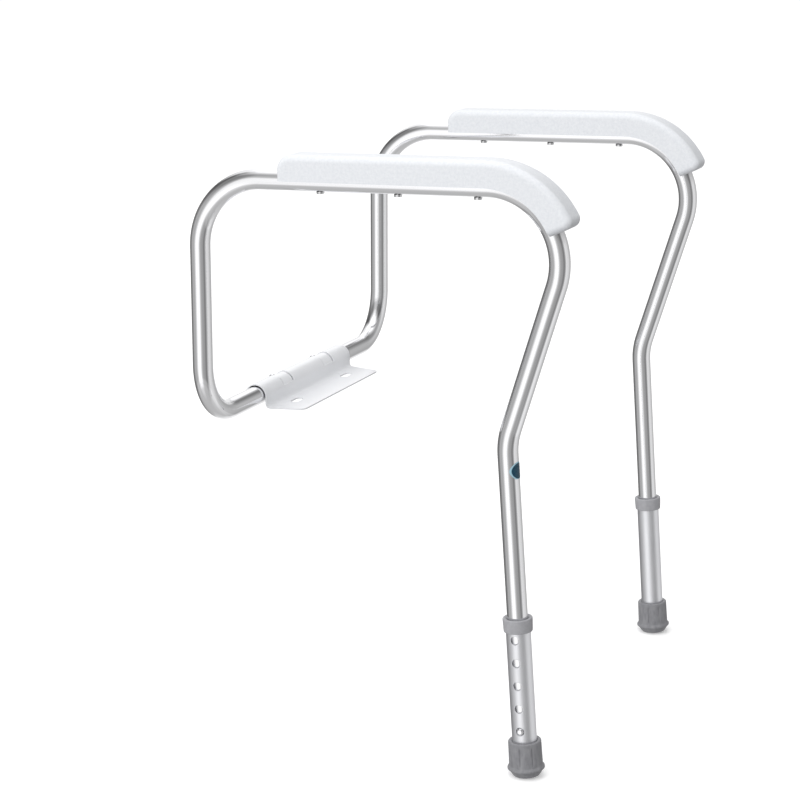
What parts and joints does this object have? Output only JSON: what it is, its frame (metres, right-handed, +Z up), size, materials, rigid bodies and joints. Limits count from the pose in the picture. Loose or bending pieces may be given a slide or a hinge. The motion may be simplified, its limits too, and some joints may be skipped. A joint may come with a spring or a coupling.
{
  "type": "toilet safety frame",
  "caption": "Toilet safety frame: bent tube arms with moulded armrests, a seat-bolt bracket that sets the width, and telescoping front legs on rubber tips.",
  "frame": {"origin": "underside of the bracket, midway between its two seat-bolt slots", "axes": "+Z up, -Y to the front of the toilet, +X to the seated user's left"},
  "size_m": [0.5302, 0.4377, 0.6591],
  "materials": {
    "white_enamel": "smooth white baked enamel on steel sheet",
    "anodised_tube": "bright drawn and anodised",
    "satin_extension": "satin anodised",
    "armrest_plastic": "white moulded plastic with a fine texture",
    "grey_moulding": "grey moulded plastic",
    "grey_rubber": "grey moulded rubber",
    "plated_steel": "bright zinc plate",
    "button_steel": "polished nickel plate",
    "spring_steel": "tempered strip",
    "plain_label": "plain printed film"
  },
  "bodies": {
    "seat_bracket": {"bracket": "white_enamel"},
    "right_arm": {"right_arm_tube": "anodised_tube", "right_armrest": "armrest_plastic", "right_armrest_screws": "plated_steel", "right_width_spring": "spring_steel", "right_height_spring": "spring_steel", "right_blank_label": "plain_label"},
    "right_leg": {"right_leg_extension": "satin_extension", "right_leg_collar": "grey_moulding", "right_leg_tip": "grey_rubber", "right_tip_washer": "plated_steel"},
    "right_width_press": {"right_width_button": "button_steel"},
    "right_height_press": {"right_height_button": "button_steel"},
    "left_arm": {"left_arm_tube": "anodised_tube", "left_armrest": "armrest_plastic", "left_armrest_screws": "plated_steel", "left_width_spring": "spring_steel", "left_height_spring": "spring_steel"},
    "left_leg": {"left_leg_extension": "satin_extension", "left_leg_collar": "grey_moulding", "left_leg_tip": "grey_rubber", "left_tip_washer": "plated_steel"},
    "left_width_press": {"left_width_button": "button_steel"},
    "left_height_press": {"left_height_button": "button_steel"}
  },
  "joints": [
    {"name": "right_width_slide", "type": "slide", "parent": "seat_bracket", "child": "right_arm", "axis": [-1, 0, 0], "range_m": [-0.0254, 0.0254], "deforming": ["right_width_button"]},
    {"name": "right_height_slide", "type": "slide", "parent": "right_arm", "child": "right_leg", "axis": [0, -0.0728, -0.9973], "range_m": [0, 0.1016], "deforming": ["right_height_button"]},
    {"name": "right_width_button_press", "type": "slide", "parent": "right_arm", "child": "right_width_press", "axis": [0, -0.7071, -0.7071], "range_m": [0, 0.0044], "stiffness_N_per_m": 1500, "deforming": ["right_width_spring"]},
    {"name": "right_height_button_press", "type": "slide", "parent": "right_arm", "child": "right_height_press", "axis": [1, 0, 0], "range_m": [0, 0.0038], "stiffness_N_per_m": 1500, "deforming": ["right_height_spring"]},
    {"name": "left_width_slide", "type": "slide", "parent": "seat_bracket", "child": "left_arm", "axis": [1, 0, 0], "range_m": [-0.0254, 0.0254], "deforming": ["left_width_button"]},
    {"name": "left_height_slide", "type": "slide", "parent": "left_arm", "child": "left_leg", "axis": [0, -0.0728, -0.9973], "range_m": [0, 0.1016], "deforming": ["left_height_button"]},
    {"name": "left_width_button_press", "type": "slide", "parent": "left_arm", "child": "left_width_press", "axis": [0, -0.7071, -0.7071], "range_m": [0, 0.0044], "stiffness_N_per_m": 1500, "deforming": ["left_width_spring"]},
    {"name": "left_height_button_press", "type": "slide", "parent": "left_arm", "child": "left_height_press", "axis": [-1, 0, 0], "range_m": [0, 0.0038], "stiffness_N_per_m": 1500, "deforming": ["left_height_spring"]}
  ]
}
